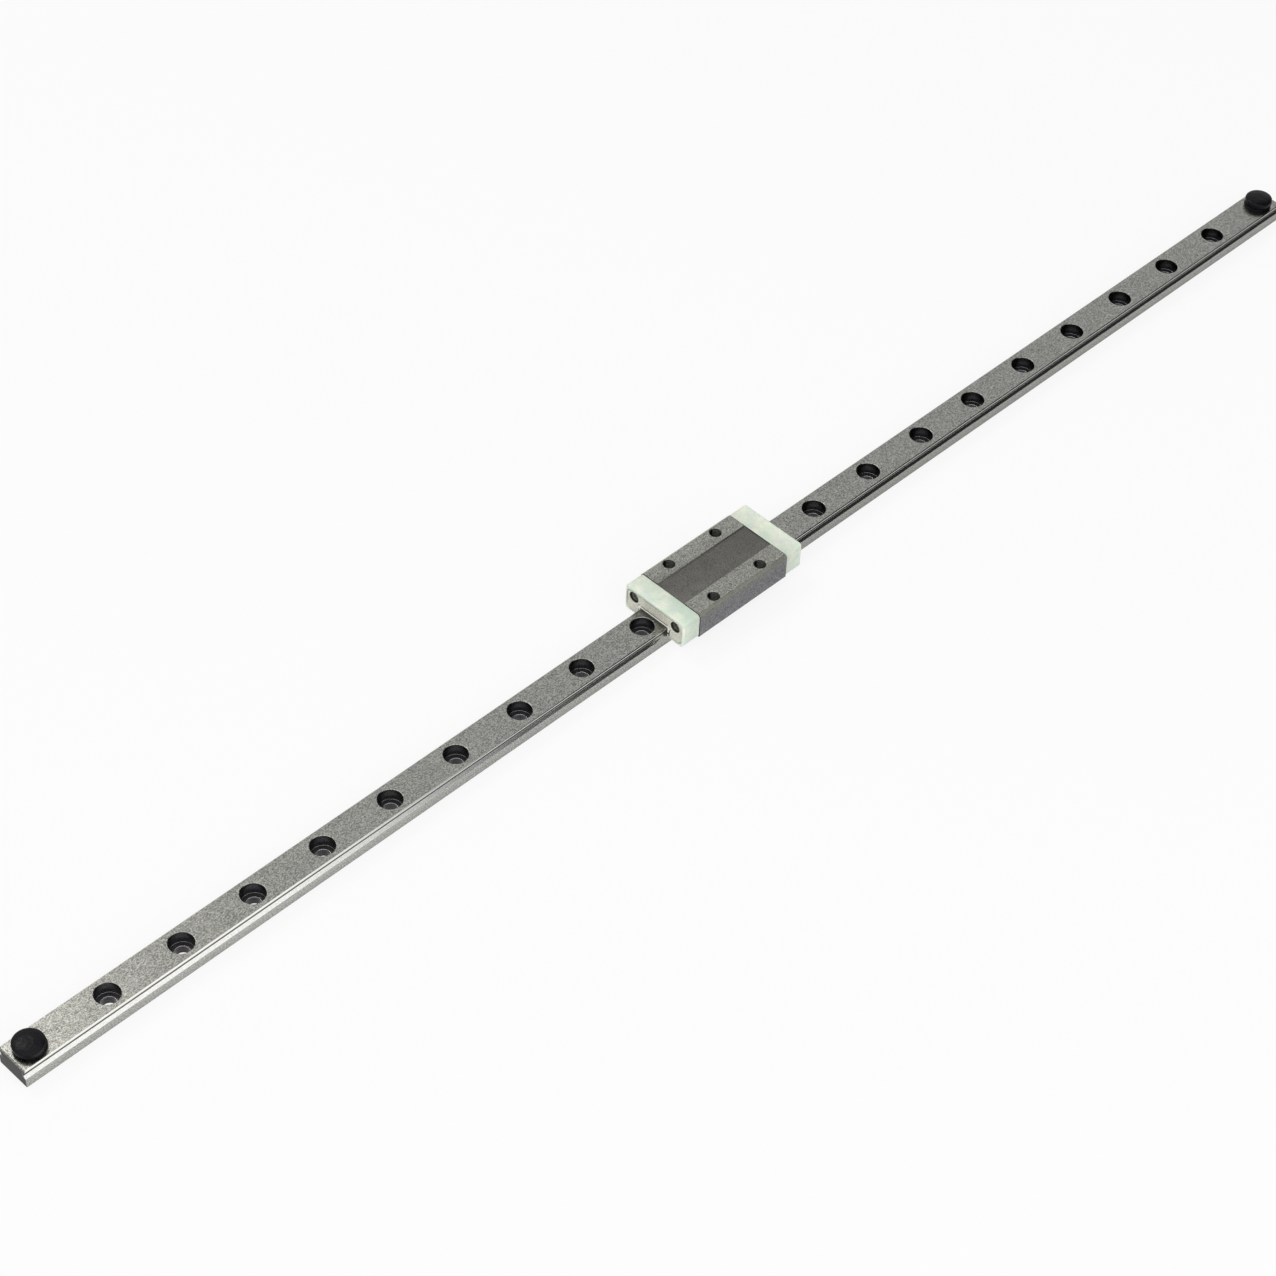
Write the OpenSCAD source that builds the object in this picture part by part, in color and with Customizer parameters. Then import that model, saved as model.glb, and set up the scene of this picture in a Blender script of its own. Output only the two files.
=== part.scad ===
// Miniature profile rail guide: a ground steel rail with a long ball carriage.
// X runs along the rail, Y across it and Z up. The origin is the middle of the
// rail's underside. Lengths are in millimetres.

/* [Rail] */
// Width of the rail across its flanks
rail_w = 9; // [9:0.5:12]
// Height of the rail from its foot to its ground top
rail_h = 5.5; // [5.5:0.1:6.5]
// Number of counterbored mounting holes
hole_count = 22; // [8:1:30]
// Distance between neighbouring mounting holes
hole_pitch = 20; // [15:1:25]
// Distance from the last hole to the end of the rail
rail_end = 5.2; // [4.5:0.1:10]
// Diameter of the hole that the screw's thread passes through
screw_hole_d = 3.5; // [3:0.1:3.8]
// Diameter of the counterbore for the screw's head
counterbore_d = 6; // [5.5:0.1:6.2]
// Depth of the counterbore
counterbore_depth = 3.3; // [2.5:0.1:3.6]
// Broken edge round the mouth of each counterbore
hole_edge = 0.1; // [0.05:0.05:0.2]
// Chamfer along the rail's top edges
rail_top_edge = 0.2; // [0.1:0.05:0.3]
// Chamfer along the rail's foot
rail_foot_edge = 0.2; // [0.1:0.05:0.4]
// Chamfer across the top and the foot of the rail's ends
rail_end_edge = 0.35; // [0.1:0.05:0.5]

/* [Balls and raceways] */
// Diameter of one ball
ball_d = 1.5875; // [1.5:0.0125:1.6]
// Radius of the raceway as a share of the ball's diameter
raceway_fit = 0.54; // [0.52:0.005:0.55]
// Height of the ball line above the rail's foot
ball_line_z = 3.85; // [3.7:0.05:4]
// Distance of the ball line outside the rail's flank
ball_line_out = 0.1; // [0.05:0.01:0.15]
// Running clearance between a ball and the rail's raceway
ball_clearance = 0.015; // [0.01:0.005:0.03]
// Chamfer along both lips of the rail's raceways
raceway_edge = 0.18; // [0.1:0.02:0.2]
// Width of the grinding relief at the bottom of a raceway
relief_w = 0.25; // [0.2:0.05:0.3]
// Depth of the grinding relief below the raceway's arcs
relief_depth = 0.15; // [0.1:0.05:0.2]
// Radius of the half turn that leads the balls into the return bore
turn_r = 1.3; // [1.25:0.05:1.4]
// Diameter of the return bore
return_bore_d = 1.8; // [1.7:0.05:1.9]
// Least gap between neighbouring balls
ball_gap = 0.02; // [0.01:0.01:0.1]

/* [Carriage block] */
// Width of the carriage
block_w = 20; // [20:0.5:22]
// Length of the steel block
block_l = 30; // [26:0.5:40]
// Height of the carriage's top above the rail's foot
assembly_h = 10; // [9.8:0.1:12]
// Height of the block's underside above the rail's foot
block_foot = 2.6; // [2.2:0.1:2.7]
// Chamfer along the block's top edges
block_top_edge = 0.7; // [0.3:0.1:0.9]
// Chamfer along the block's lower edges
block_foot_edge = 0.25; // [0.1:0.05:0.3]
// Gap between the block's inner walls and the rail's flanks
saddle_gap = 0.25; // [0.2:0.05:0.3]
// Gap between the block's ceiling and the rail's top
ceiling_gap = 0.5; // [0.3:0.1:0.7]
// Width of the relief down the middle of the block's top
top_relief_w = 9; // [8:0.5:11]
// Depth of that relief
top_relief_depth = 0.25; // [0.1:0.05:0.4]
// Major diameter of the tapped mounting holes
tapped_d = 3; // [2.5:0.5:3]
// Depth of the full diameter of the tapped mounting holes
tapped_depth = 3; // [2:0.1:3.2]
// Countersink round the mouth of each tapped hole
tapped_edge = 0.15; // [0.1:0.05:0.2]
// Distance between the tapped holes across the carriage
tapped_y = 15; // [14:0.5:16]
// Distance between the tapped holes along the carriage
tapped_x = 16; // [12:0.5:18]
// Place of the carriage's middle along the rail
carriage_x = -5.6; // [-60:0.1:60]

/* [End caps] */
// Length of one end cap, with its plate
cap_l = 5.5; // [5:0.1:6.5]
// Inset of the cap's outline from the block's
cap_inset = 0.1; // [0.05:0.05:0.2]
// Radius of the cap's corners
cap_corner_r = 1; // [0.8:0.1:1.2]
// Radius of the upright edges at the cap's front
cap_front_r = 0.7; // [0.4:0.1:1]
// Gap between the cap's opening and the rail
cap_gap = 0.35; // [0.25:0.05:0.4]
// Thickness of the rim at the sides and the top of the plate's pocket
rim_t = 0.7; // [0.5:0.05:0.9]
// Thickness of the rim under the plate
rim_foot = 0.3; // [0.25:0.05:0.4]
// Radius of the pocket's corners
pocket_r = 1.4; // [1.2:0.1:1.6]
// Gap between the plate and the rim
plate_gap = 0.12; // [0.05:0.01:0.15]
// Depth of the plate's face below the rim
plate_sink = 0.1; // [0.05:0.05:0.2]
// Thickness of the steel plate
plate_t = 0.7; // [0.5:0.1:0.9]
// Thickness of the seal behind the plate
seal_t = 0.5; // [0.3:0.1:0.6]
// Gap between the seal's lip and the rail
lip_gap = 0.05; // [0.04:0.01:0.08]
// Width of the seal's lip, which shows through the plate's opening
lip_w = 0.4; // [0.3:0.05:0.5]
// Height of the lip in front of the plate's face
lip_proud = 0.1; // [0.05:0.05:0.2]
// Gap between the lip and the plate's opening
lip_play = 0.12; // [0.05:0.01:0.15]
// Radius of the lobes in the lip's upper corners
lobe_r = 0.65; // [0.55:0.05:0.7]

/* [Cap screws] */
// How much nearer to the lip's opening than to the plate's side a screw stands
screw_in = 0.35; // [0.1:0.05:0.5]
// Height of the screws above the rail's foot
screw_z = 7.4; // [7.2:0.1:7.5]
// Diameter of the recess that a screw's head sits in
recess_d = 3; // [2.8:0.1:3.1]
// Diameter of the screw's head
head_d = 2.6; // [2.4:0.1:2.7]
// Height of the screw's head
head_h = 1.1; // [0.9:0.1:1.3]
// Depth of the head's seat below the plate's pocket
seat_depth = 0.2; // [0.1:0.1:0.4]
// Diameter of the screw's thread
thread_d = 1.6; // [1.4:0.1:1.6]
// Length of thread inside the block
thread_reach = 4; // [3:0.5:5]
// Width of the cross slots in the head
slot_w = 0.4; // [0.3:0.05:0.5]
// Depth of the cross slots
slot_depth = 0.6; // [0.4:0.1:0.7]

/* [Stop plugs] */
// Diameter of a plug's head
plug_head_d = 7.4; // [7:0.1:7.8]
// Height of the head's straight side
plug_side_h = 1.4; // [1.2:0.1:1.8]
// Height of the domed top above the straight side
plug_dome_h = 0.6; // [0.4:0.1:1]
// Height of the foot ring under the head
plug_ring_h = 0.6; // [0.4:0.1:0.8]
// Depth of the waist between the foot ring and the head
plug_waist = 0.2; // [0.1:0.05:0.3]
// Gap between a plug's stem and its counterbore
plug_gap = 0.02; // [0.01:0.01:0.05]
// How far the carriage has pushed a plug's soft head outwards off its stem
plug_push = 0.5; // [0:0.1:0.8]

/* [Hidden] */
$fn = 64;
cut = 1;                                             // how far a cutter passes a face

rail_l = (hole_count - 1) * hole_pitch + 2 * rail_end;
first_hole_x = -(hole_count - 1) * hole_pitch / 2;
last_hole_x = -first_hole_x;
ball_line_y = rail_w / 2 + ball_line_out;
raceway_r = raceway_fit * ball_d;
contact_angle = 45;
arc_offset = raceway_r - ball_d / 2 - ball_clearance;
mouth_half = sqrt(raceway_r ^ 2 - (ball_line_out + arc_offset * cos(contact_angle)) ^ 2)
    - arc_offset * sin(contact_angle);               // half the opening of a rail's raceway
return_y = ball_line_y + 2 * turn_r;
loop_l = 2 * block_l + 2 * PI * turn_r;
// In a half turn the straight distance between two balls is shorter than the arc.
ball_pitch = 2 * asin((ball_d + ball_gap) / (2 * turn_r)) * PI / 180 * turn_r;
loop_balls = floor(loop_l / ball_pitch);
saddle_w = rail_w + 2 * saddle_gap;
ceiling_z = rail_h + ceiling_gap;
pocket_x = cap_l - plate_sink - plate_t - seal_t;    // floor of the plate's pocket
cap_w = block_w - 2 * cap_inset;
cap_top = assembly_h - cap_inset;
cap_foot = block_foot + cap_inset;
plate_foot = cap_foot + rim_foot + plate_gap;
plate_half_w = cap_w / 2 - rim_t - plate_gap;
opening_half_w = rail_w / 2 + lip_gap + lip_w + lip_play;
screw_y = plate_half_w + opening_half_w - screw_in;  // between the two screws of a cap
left = 1;                                            // the carriage's +Y side
right = -1;
steel = [0.62, 0.61, 0.60];
dark_steel = [0.42, 0.41, 0.42];
mint_plastic = [0.88, 0.93, 0.86];
cream = [0.86, 0.85, 0.78];

// Stand a section drawn in the Y-Z plane up along X, from x to x + length.
module along_x(x, length)
    translate([x, 0, 0])
    rotate([90, 0, 90])
    linear_extrude(length)
    children();

// Gothic-arch section of a raceway on one side: two arcs that each touch the
// ball at the contact angle, with a grinding relief where they would meet.
// direction is +1 where the arch opens the metal towards +Y, and gap is the
// space left between the ball and the arcs.
module raceway_section(side, direction, gap) {
    offset_r = raceway_r - ball_d / 2 - gap;
    dy = -direction * offset_r * cos(contact_angle);
    dz = offset_r * sin(contact_angle);
    arch_depth = dy * direction + sqrt(raceway_r ^ 2 - dz ^ 2);
    translate([side * ball_line_y, ball_line_z]) {
        intersection() {
            translate([dy, dz]) circle(raceway_r);
            translate([dy, -dz]) circle(raceway_r);
        }
        translate([direction * arch_depth, 0])
            square([2 * relief_depth, relief_w], center = true);
    }
}

// ---------------------------------------------------------------- rail

module rail_section()
    difference() {
        polygon([
            [-rail_w / 2 + rail_foot_edge, 0],
            [rail_w / 2 - rail_foot_edge, 0],
            [rail_w / 2, rail_foot_edge],
            [rail_w / 2, rail_h - rail_top_edge],
            [rail_w / 2 - rail_top_edge, rail_h],
            [-rail_w / 2 + rail_top_edge, rail_h],
            [-rail_w / 2, rail_h - rail_top_edge],
            [-rail_w / 2, rail_foot_edge],
        ]);
        for (side = [left, right]) {
            raceway_section(side, -side, ball_clearance);
            // Steeper than 45 degrees, so that the chamfer ends on the raceway's arc.
            for (lip = [-1, 1])
                translate([side * rail_w / 2, ball_line_z + lip * mouth_half])
                polygon([
                    [-side * raceway_edge, -lip * raceway_edge / 2],
                    [side * raceway_edge, lip * 2.5 * raceway_edge],
                    [side * raceway_edge, -lip * raceway_edge / 2],
                ]);
        }
    }

module mounting_hole(x)
    translate([x, 0, rail_h]) {
        translate([0, 0, -rail_h - cut]) cylinder(d = screw_hole_d, h = rail_h + 2 * cut);
        translate([0, 0, -counterbore_depth]) cylinder(d = counterbore_d, h = counterbore_depth + cut);
        translate([0, 0, -hole_edge])
            cylinder(d1 = counterbore_d, d2 = counterbore_d + 4 * hole_edge, h = 2 * hole_edge);
    }

// Wedge that breaks the edge of one end at height z, end = -1 or +1.
module end_edge_cutter(end, z)
    translate([end * rail_l / 2, 0, z])
    rotate([0, 45, 0])
    cube([rail_end_edge * sqrt(2), rail_w + 2 * cut, rail_end_edge * sqrt(2)], center = true);

module rail()
    color(steel)
    difference() {
        along_x(-rail_l / 2, rail_l) rail_section();
        for (k = [0 : hole_count - 1]) mounting_hole(first_hole_x + k * hole_pitch);
        for (end = [-1, 1], z = [0, rail_h]) end_edge_cutter(end, z);
    }

// Soft plug that keeps the carriage on the rail. The stem stands on the floor
// of the counterbore, and push is how far along X the head sits off it.
module stop_plug(x, push) {
    dome_r = (plug_head_d ^ 2 / 4 + plug_dome_h ^ 2) / (2 * plug_dome_h);
    side_top = plug_ring_h + plug_side_h;
    color([0.09, 0.09, 0.1])
    translate([x, 0, rail_h]) {
        translate([0, 0, -counterbore_depth])
            cylinder(d = counterbore_d - 2 * plug_gap, h = counterbore_depth + plug_ring_h / 2);
        cylinder(d = plug_head_d - 2 * plug_waist, h = plug_ring_h);
        translate([push, 0, 0]) {
            translate([0, 0, plug_ring_h]) cylinder(d = plug_head_d, h = plug_side_h);
            intersection() {
                translate([0, 0, side_top]) cylinder(d = plug_head_d, h = plug_dome_h + cut);
                translate([0, 0, side_top + plug_dome_h - dome_r]) sphere(dome_r);
            }
        }
    }
}

module stop_plug_near() stop_plug(first_hole_x, -plug_push);

module stop_plug_far() stop_plug(last_hole_x, plug_push);

// ---------------------------------------------------------------- carriage

module block_section()
    difference() {
        polygon([
            [-block_w / 2, block_foot + block_foot_edge],
            [-block_w / 2 + block_foot_edge, block_foot],
            [block_w / 2 - block_foot_edge, block_foot],
            [block_w / 2, block_foot + block_foot_edge],
            [block_w / 2, assembly_h - block_top_edge],
            [block_w / 2 - block_top_edge, assembly_h],
            [top_relief_w / 2, assembly_h],
            [top_relief_w / 2 - top_relief_depth, assembly_h - top_relief_depth],
            [-top_relief_w / 2 + top_relief_depth, assembly_h - top_relief_depth],
            [-top_relief_w / 2, assembly_h],
            [-block_w / 2 + block_top_edge, assembly_h],
            [-block_w / 2, assembly_h - block_top_edge],
        ]);
        translate([-saddle_w / 2, block_foot - cut])
            square([saddle_w, ceiling_z - block_foot + cut]);
        for (side = [left, right]) raceway_section(side, side, 0);
    }

// Blind tapped hole with a drill point below it.
module tapped_hole(x, y)
    translate([x, y, assembly_h]) {
        translate([0, 0, -tapped_depth]) cylinder(d = tapped_d, h = tapped_depth + cut);
        translate([0, 0, -tapped_depth - tapped_d / 4])
            cylinder(d1 = 0.2, d2 = tapped_d, h = tapped_d / 4);
        translate([0, 0, -tapped_edge])
            cylinder(d1 = tapped_d, d2 = tapped_d + 4 * tapped_edge, h = 2 * tapped_edge);
    }

module carriage_block()
    color(dark_steel)
    translate([carriage_x, 0, 0])
    difference() {
        along_x(-block_l / 2, block_l) block_section();
        for (side = [left, right])
            translate([-block_l / 2 - cut, side * return_y, ball_line_z])
            rotate([0, 90, 0])
            cylinder(d = return_bore_d, h = block_l + 2 * cut);
        for (sx = [-1, 1], sy = [-1, 1])
            tapped_hole(sx * tapped_x / 2, sy * tapped_y / 2);
        for (end = [-1, 1], sy = [-1, 1])
            translate([end * block_l / 2, sy * screw_y / 2, screw_z])
            rotate([0, -end * 90, 0])
            translate([0, 0, -cut])
            cylinder(d = thread_d, h = thread_reach + 0.5 + cut);
    }

// Place at distance s along one ball circuit, seen from above: the load row,
// the far half turn, the return row and the near half turn.
function loop_point(s) =
    let (turn_l = PI * turn_r,
         mid_y = ball_line_y + turn_r,
         half = block_l / 2)
    s < block_l ? [s - half, ball_line_y] :
    s < block_l + turn_l ? let (a = (s - block_l) / turn_r * 180 / PI)
        [half + turn_r * sin(a), mid_y - turn_r * cos(a)] :
    s < 2 * block_l + turn_l ? [half - (s - block_l - turn_l), return_y] :
    let (a = (s - 2 * block_l - turn_l) / turn_r * 180 / PI)
        [-half - turn_r * sin(a), mid_y + turn_r * cos(a)];

module ball_loop(side)
    color([0.8, 0.8, 0.82])
    translate([carriage_x, 0, ball_line_z])
    for (k = [0 : loop_balls - 1]) {
        place = loop_point(k * loop_l / loop_balls);
        translate([place.x, side * place.y, 0]) sphere(d = ball_d, $fn = 24);
    }

module balls_left() ball_loop(left);

module balls_right() ball_loop(right);

// ---------------------------------------------------------------- end caps

// Upright outline with four round corners: inset is from the cap's own sides
// and top, and lift is from its foot.
module cap_outline(inset, lift, r) {
    half = cap_w / 2 - inset;
    top = cap_top - inset;
    foot = cap_foot + lift;
    translate([-half, foot + r]) square([2 * half, top - foot - 2 * r]);
    translate([r - half, foot]) square([2 * (half - r), top - foot]);
    for (side = [left, right], z = [foot + r, top - r])
        translate([side * (half - r), z]) circle(r);
}

// The cap seen from above: a bar with its two front corners rounded.
module cap_plan() {
    half = cap_w / 2;
    translate([0, -half]) square([cap_l - cap_front_r, cap_w]);
    translate([0, cap_front_r - half]) square([cap_l, cap_w - 2 * cap_front_r]);
    for (side = [left, right])
        translate([cap_l - cap_front_r, side * (half - cap_front_r)]) circle(cap_front_r);
}

// The rail's own outline at a distance: a straddling rectangle with a tongue
// that reaches into each raceway.
module rail_way(gap) {
    half = rail_w / 2 + gap;
    tongue_r = ball_d / 2 + ball_clearance - gap;
    difference() {
        translate([-half, 0]) square([2 * half, rail_h + gap]);
        for (side = [left, right])
            translate([side * ball_line_y, ball_line_z]) {
                circle(tongue_r);
                translate([side * gap, 0]) square([2 * gap, 2 * tongue_r], center = true);
            }
    }
}

// Outline that the seal's lip fills, with a round lobe in each upper corner,
// or with play added, the plate's opening round it.
module lip_outline(play) {
    rail_way(lip_gap + lip_w + play);
    for (side = [left, right])
        translate([side * (rail_w / 2 + lip_gap + lip_w / 2), rail_h + lip_gap]) circle(lobe_r + play);
}

// Run a shape made for the far end of the carriage, from x = 0 at the block's
// face outwards, to the end named: -1 is the near end and +1 the far one.
module at_end(end)
    translate([carriage_x, 0, 0])
    mirror([end < 0 ? 1 : 0, 0, 0])
    translate([block_l / 2, 0, 0])
    children();

module across_screws(d, x, h)
    for (side = [left, right])
        translate([x, side * screw_y / 2, screw_z])
        rotate([0, 90, 0])
        cylinder(d = d, h = h);

module end_cap(end)
    color(mint_plastic)
    at_end(end)
    difference() {
        intersection() {
            along_x(0, cap_l) cap_outline(0, 0, cap_corner_r);
            translate([0, 0, cap_foot - cut]) linear_extrude(cap_top - cap_foot + 2 * cut) cap_plan();
        }
        along_x(-cut, cap_l + 2 * cut)
            translate([-rail_w / 2 - cap_gap, 0]) square([rail_w + 2 * cap_gap, rail_h + cap_gap]);
        along_x(pocket_x, cap_l - pocket_x + cut) cap_outline(rim_t, rim_foot, pocket_r);
        across_screws(thread_d + 0.2, -cut, cap_l + cut);
        across_screws(recess_d, pocket_x - seat_depth, cap_l);
        for (side = [left, right])
            translate([0, side * (ball_line_y + turn_r), ball_line_z])
            rotate_extrude()
            translate([turn_r, 0])
            circle(d = return_bore_d);
    }

// Flat piece that fills the pocket's outline from x to x + t, less an opening.
module pocket_piece(x, t)
    difference() {
        along_x(x, t) difference() {
            cap_outline(rim_t + plate_gap, rim_foot + plate_gap, pocket_r - plate_gap);
            children();
        }
        across_screws(recess_d, x - cut, t + 2 * cut);
    }

// Rubber seal: a sheet behind the plate, and a lip that wipes the rail and
// comes out through the plate's opening.
module end_seal(end)
    color(cream)
    at_end(end) {
        pocket_piece(pocket_x, seal_t) rail_way(lip_gap);
        along_x(pocket_x + seal_t, plate_t + lip_proud)
            intersection() {
                difference() {
                    lip_outline(0);
                    rail_way(lip_gap);
                }
                translate([-cap_w / 2, plate_foot]) square([cap_w, cap_top - plate_foot]);
            }
    }

module end_plate(end)
    color(cream)
    at_end(end)
    pocket_piece(pocket_x + seal_t, plate_t) lip_outline(lip_play);

// Cross-slotted screw that holds a cap to the block.
module cap_screw(end, side) {
    seat_x = pocket_x - seat_depth;
    color([0.25, 0.25, 0.26])
    at_end(end)
    translate([seat_x, side * screw_y / 2, screw_z])
    rotate([0, 90, 0])
    difference() {
        union() {
            cylinder(d = head_d, h = head_h);
            translate([0, 0, -seat_x - thread_reach])
                cylinder(d = thread_d, h = seat_x + thread_reach);
        }
        for (turn = [0, 90])
            rotate(turn)
            translate([0, 0, head_h])
            cube([head_d * 0.7, slot_w, 2 * slot_depth], center = true);
    }
}

module end_cap_near() end_cap(-1);

module end_cap_far() end_cap(1);

module end_seal_near() end_seal(-1);

module end_seal_far() end_seal(1);

module end_plate_near() end_plate(-1);

module end_plate_far() end_plate(1);

module cap_screw_near_left() cap_screw(-1, left);

module cap_screw_near_right() cap_screw(-1, right);

module cap_screw_far_left() cap_screw(1, left);

module cap_screw_far_right() cap_screw(1, right);

rail();
stop_plug_near();
stop_plug_far();
carriage_block();
balls_left();
balls_right();
end_cap_near();
end_cap_far();
end_seal_near();
end_seal_far();
end_plate_near();
end_plate_far();
cap_screw_near_left();
cap_screw_near_right();
cap_screw_far_left();
cap_screw_far_right();
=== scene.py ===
# %% [markdown]
# # Dressing a miniature linear guide
#
# A ground steel rail, 430 mm long and 9 mm wide, carries a ball carriage with pale plastic end caps.
# The rail, the carriage and the pieces inside it come from the construction model, at their real size and
# in their real place. This lesson gives them their finishes, and adds the forms that are too fine for a
# construction model: screw threads, cross recesses, rounded edges and soft rubber plugs. The stage is set
# in metres, as Blender counts, and finishes and fine forms in millimetres.

# %% Load the construction model
import math

import bmesh
import bpy
import numpy as np
from mathutils import Matrix, Vector


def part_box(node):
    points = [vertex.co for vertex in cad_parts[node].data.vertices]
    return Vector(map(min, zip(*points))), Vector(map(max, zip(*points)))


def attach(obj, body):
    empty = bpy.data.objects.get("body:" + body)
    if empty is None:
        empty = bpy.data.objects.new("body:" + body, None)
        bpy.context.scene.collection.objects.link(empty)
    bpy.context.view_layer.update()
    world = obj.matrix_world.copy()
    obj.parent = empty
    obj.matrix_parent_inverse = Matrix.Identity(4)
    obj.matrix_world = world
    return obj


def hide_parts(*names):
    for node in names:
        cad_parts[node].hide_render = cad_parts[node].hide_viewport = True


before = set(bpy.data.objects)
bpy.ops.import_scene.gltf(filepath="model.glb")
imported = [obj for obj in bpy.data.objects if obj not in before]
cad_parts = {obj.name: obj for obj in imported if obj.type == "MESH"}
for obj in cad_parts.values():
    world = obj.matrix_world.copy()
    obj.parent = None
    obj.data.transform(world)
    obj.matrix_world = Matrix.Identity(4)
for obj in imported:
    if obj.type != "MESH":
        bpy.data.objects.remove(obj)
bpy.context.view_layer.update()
MM = 0.001

# %% [markdown]
# ## Camera
#
# The guide is seen from its near left corner and from 45 degrees above, with a long lens from about
# 0.74 m, so that the rail runs from the lower left to the upper right. An aim-at constraint could point the
# camera, but a small roll is part of the view, so its three axes are worked out and put in its matrix.

# %% Camera
AZIMUTH = math.radians(-46.6)
ELEVATION = math.radians(45.6)
ROLL = math.radians(2.52)
DISTANCE = 0.7434
AIM = Vector((-0.0335, -0.0021, 0.0055))
SENSOR = 36.0
LENS = 88.5


def camera_axes(azimuth, elevation, roll):
    """The camera's right, up and backward directions.

    Backward comes from the two angles and right is level, and then right and up are rolled.
    """
    backward = Vector((
        math.sin(azimuth) * math.cos(elevation),
        -math.cos(azimuth) * math.cos(elevation),
        math.sin(elevation),
    ))
    level = Vector((math.cos(azimuth), math.sin(azimuth), 0))
    upward = backward.cross(level)
    right = level * math.cos(roll) + upward * math.sin(roll)
    return right, backward.cross(right), backward


camera_data = bpy.data.cameras.new("studio_camera")
camera_data.sensor_width = SENSOR
camera_data.lens = LENS
camera_data.clip_start = 0.01
camera_data.clip_end = 20
camera = bpy.data.objects.new("studio_camera", camera_data)
bpy.context.collection.objects.link(camera)
right, upward, backward = camera_axes(AZIMUTH, ELEVATION, ROLL)
turn = Matrix((right, upward, backward)).transposed().to_4x4()
camera.matrix_world = Matrix.Translation(AIM + backward * DISTANCE) @ turn
bpy.context.scene.camera = camera
print("camera at", [round(v, 3) for v in camera.location])

# %% [markdown]
# ## Node helpers
#
# Every material here is a tree of nodes. Wiring them by hand takes many lines, so three short helpers add
# a node, join two sockets and do sums. They keep each material's recipe readable as a list of steps.

# %% Node helpers


def add_node(tree, kind, **settings):
    """A new node of this kind. Settings are its own properties, and a dict named inputs sets its sockets."""
    node = tree.nodes.new(kind)
    for name, value in settings.pop("inputs", {}).items():
        feed(tree, value, node.inputs[name])
    for name, value in settings.items():
        setattr(node, name, value)
    return node


def feed(tree, value, socket):
    """Joins an output to the socket, or writes a plain value in it."""
    if isinstance(value, bpy.types.NodeSocket):
        tree.links.new(value, socket)
    else:
        socket.default_value = value


def sums(tree, operation, a, b=0.0, c=0.0):
    """One step of arithmetic on single values."""
    node = tree.nodes.new("ShaderNodeMath")
    node.operation = operation
    for value, socket in zip((a, b, c), node.inputs):
        feed(tree, value, socket)
    return node.outputs[0]


def times(tree, a, b):
    """The product of two single values, or of two masks: 1 where both are."""
    return sums(tree, "MULTIPLY", a, b)


def times_plus(tree, a, b, c):
    """a * b + c."""
    return sums(tree, "MULTIPLY_ADD", a, b, c)


def blend_colour(tree, factor, first, second, way="MIX"):
    """First colour where the factor is 0 and second where it is 1, or another way of mixing them."""
    node = tree.nodes.new("ShaderNodeMix")
    node.data_type = "RGBA"
    node.blend_type = way
    node.clamp_factor = True
    feed(tree, factor, node.inputs[0])
    feed(tree, first, node.inputs[6])
    feed(tree, second, node.inputs[7])
    return node.outputs[2]


def step_up(tree, value, low, high):
    """0 below low, 1 above high, and a straight slope between."""
    node = tree.nodes.new("ShaderNodeMapRange")
    feed(tree, value, node.inputs["Value"])
    feed(tree, low, node.inputs["From Min"])
    feed(tree, high, node.inputs["From Max"])
    return node.outputs["Result"]


def band(tree, value, low, high, soft):
    """1 between low and high, falling to 0 over a soft width on both sides."""
    rise = step_up(tree, value, low - soft, low + soft)
    fall = step_up(tree, value, high + soft, high - soft)
    return times(tree, rise, fall)


def grey(level):
    """An opaque colour whose red, green and blue have one level."""
    return (level, level, level, 1.0)

# %% [markdown]
# ## Studio
#
# Steel shows what is round it, so the studio matters as much as the finish. The floor and the air round it
# are plain and pale. A hood of cloth hangs over the front, bent round the rail's own axis: its left part
# glows and its right part is nearly black. All of a raceway's curve mirrors the same place along such a
# hood, so the raceway turns from white to black along the rail. A glowing strip lies in front and stands
# for the floor in the mirrors, brighter at the left as painted light and dimmer at its foot by the rail as
# painted shade. Only mirrors see the hood and the strip, so the plastic and the rubber get no light from
# them.

# %% Floor and air
bpy.context.scene.view_settings.view_transform = "Standard"
STAGE_SIZE = 6.0
FLOOR_WHITE = 0.9
AIR_FOR_LIGHT = 0.45
GLOW_SHARE = 0.84


def seen_directly(tree):
    """1 for rays from the camera, from a mirror or through glass, and 0 for light that spreads."""
    path = add_node(tree, "ShaderNodeLightPath")
    either = sums(tree, "MAXIMUM", path.outputs["Is Camera Ray"], path.outputs["Is Glossy Ray"])
    return sums(tree, "MAXIMUM", either, path.outputs["Is Transmission Ray"])


def new_material(name):
    """An empty material with its tree, and the node that its surface goes to."""
    material = bpy.data.materials.new(name)
    material.use_nodes = True
    material.node_tree.nodes.clear()
    result = material.node_tree.nodes.new("ShaderNodeOutputMaterial")
    return material, material.node_tree, result


def flat_quad(name, corners, material):
    """A stage card through four corners."""
    mesh = bpy.data.meshes.new(name)
    mesh.from_pydata([tuple(corner) for corner in corners], [], [(0, 1, 2, 3)])
    mesh.materials.append(material)
    card = bpy.data.objects.new(name, mesh)
    bpy.context.collection.objects.link(card)
    return card


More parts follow.
